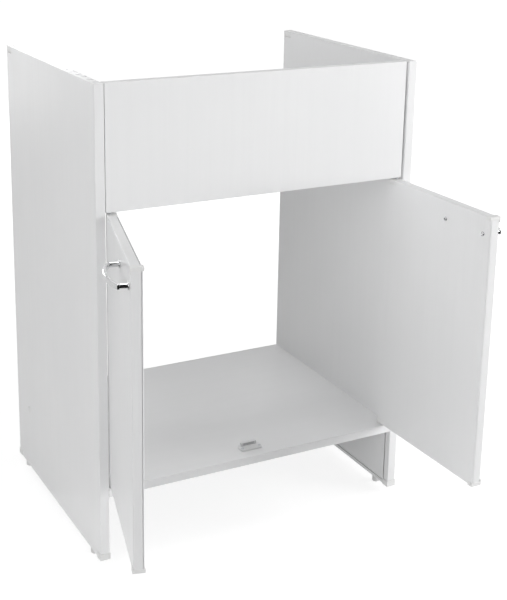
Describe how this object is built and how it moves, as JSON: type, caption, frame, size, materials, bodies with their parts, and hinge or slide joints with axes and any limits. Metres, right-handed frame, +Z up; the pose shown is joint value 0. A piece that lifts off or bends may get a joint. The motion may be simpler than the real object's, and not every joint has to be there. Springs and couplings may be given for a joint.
{
  "type": "sink base cabinet",
  "caption": "Sheet-steel sink base cabinet with an open top and back, a tall fascia, a bottom shelf and a pair of inset doors with bow handles.",
  "frame": {"origin": "on the floor, at the centre of the four feet and midway across the cabinet's width", "axes": "+X to the right as seen from the front, +Y towards the open back, +Z up"},
  "size_m": [0.6763, 0.7074, 0.83],
  "materials": {
    "white_enamel": "white powder coat, satin",
    "white_plastic": "white moulded plastic",
    "foot_plastic": "pale moulded plastic",
    "grey_plastic": "light grey moulded plastic",
    "chrome": "bright chrome plate",
    "chrome_screws": "bright plated screw heads",
    "zinc_steel": "zinc-plated steel",
    "magnet": "dark ferrite"
  },
  "bodies": {
    "carcass": {"bottom_shelf": "white_enamel", "door_stop_base": "grey_plastic", "door_stop_magnet": "magnet", "door_stop_screws": "chrome_screws", "fascia_panel": "white_enamel", "fascia_screws": "zinc_steel", "glide_feet": "foot_plastic", "left_bottom_pivot_pin": "zinc_steel", "left_fascia_bracket": "white_enamel", "left_side_back_bottom_cap": "white_plastic", "left_side_back_top_cap": "white_plastic", "left_side_front_bottom_cap": "white_plastic", "left_side_inner_liner": "white_enamel", "left_side_outer_skin": "white_enamel", "left_top_pivot_pin": "zinc_steel", "right_bottom_pivot_pin": "zinc_steel", "right_fascia_bracket": "white_enamel", "right_side_back_bottom_cap": "white_plastic", "right_side_back_top_cap": "white_plastic", "right_side_front_bottom_cap": "white_plastic", "right_side_inner_liner": "white_enamel", "right_side_outer_skin": "white_enamel", "right_top_pivot_pin": "zinc_steel", "shelf_back_bolts": "zinc_steel", "shelf_back_nuts": "zinc_steel", "shelf_front_screws": "zinc_steel", "shelf_stiffener": "white_enamel", "side_cover_caps": "white_plastic"},
    "left_door": {"left_door_bottom_cap": "white_plastic", "left_door_bottom_hinge_block": "white_plastic", "left_door_channel": "white_enamel", "left_door_front_skin": "white_enamel", "left_door_inner_panel": "white_enamel", "left_door_top_cap": "white_plastic", "left_door_top_hinge_block": "white_plastic", "left_handle_bow": "chrome", "left_handle_flanges": "chrome", "left_handle_screws": "chrome_screws"},
    "right_door": {"right_door_bottom_cap": "white_plastic", "right_door_bottom_hinge_block": "white_plastic", "right_door_channel": "white_enamel", "right_door_front_skin": "white_enamel", "right_door_inner_panel": "white_enamel", "right_door_top_cap": "white_plastic", "right_door_top_hinge_block": "white_plastic", "right_handle_bow": "chrome", "right_handle_flanges": "chrome", "right_handle_screws": "chrome_screws"}
  },
  "joints": [
    {"name": "left_door_hinge", "type": "hinge", "parent": "carcass", "child": "left_door", "pos_m": [-0.2729, -0.2215, 0.1475], "axis": [0, 0, -1], "range_deg": [-104.5, 15.5]},
    {"name": "right_door_hinge", "type": "hinge", "parent": "carcass", "child": "right_door", "pos_m": [0.2729, -0.2215, 0.1475], "axis": [0, 0, 1], "range_deg": [-91, 29]}
  ]
}
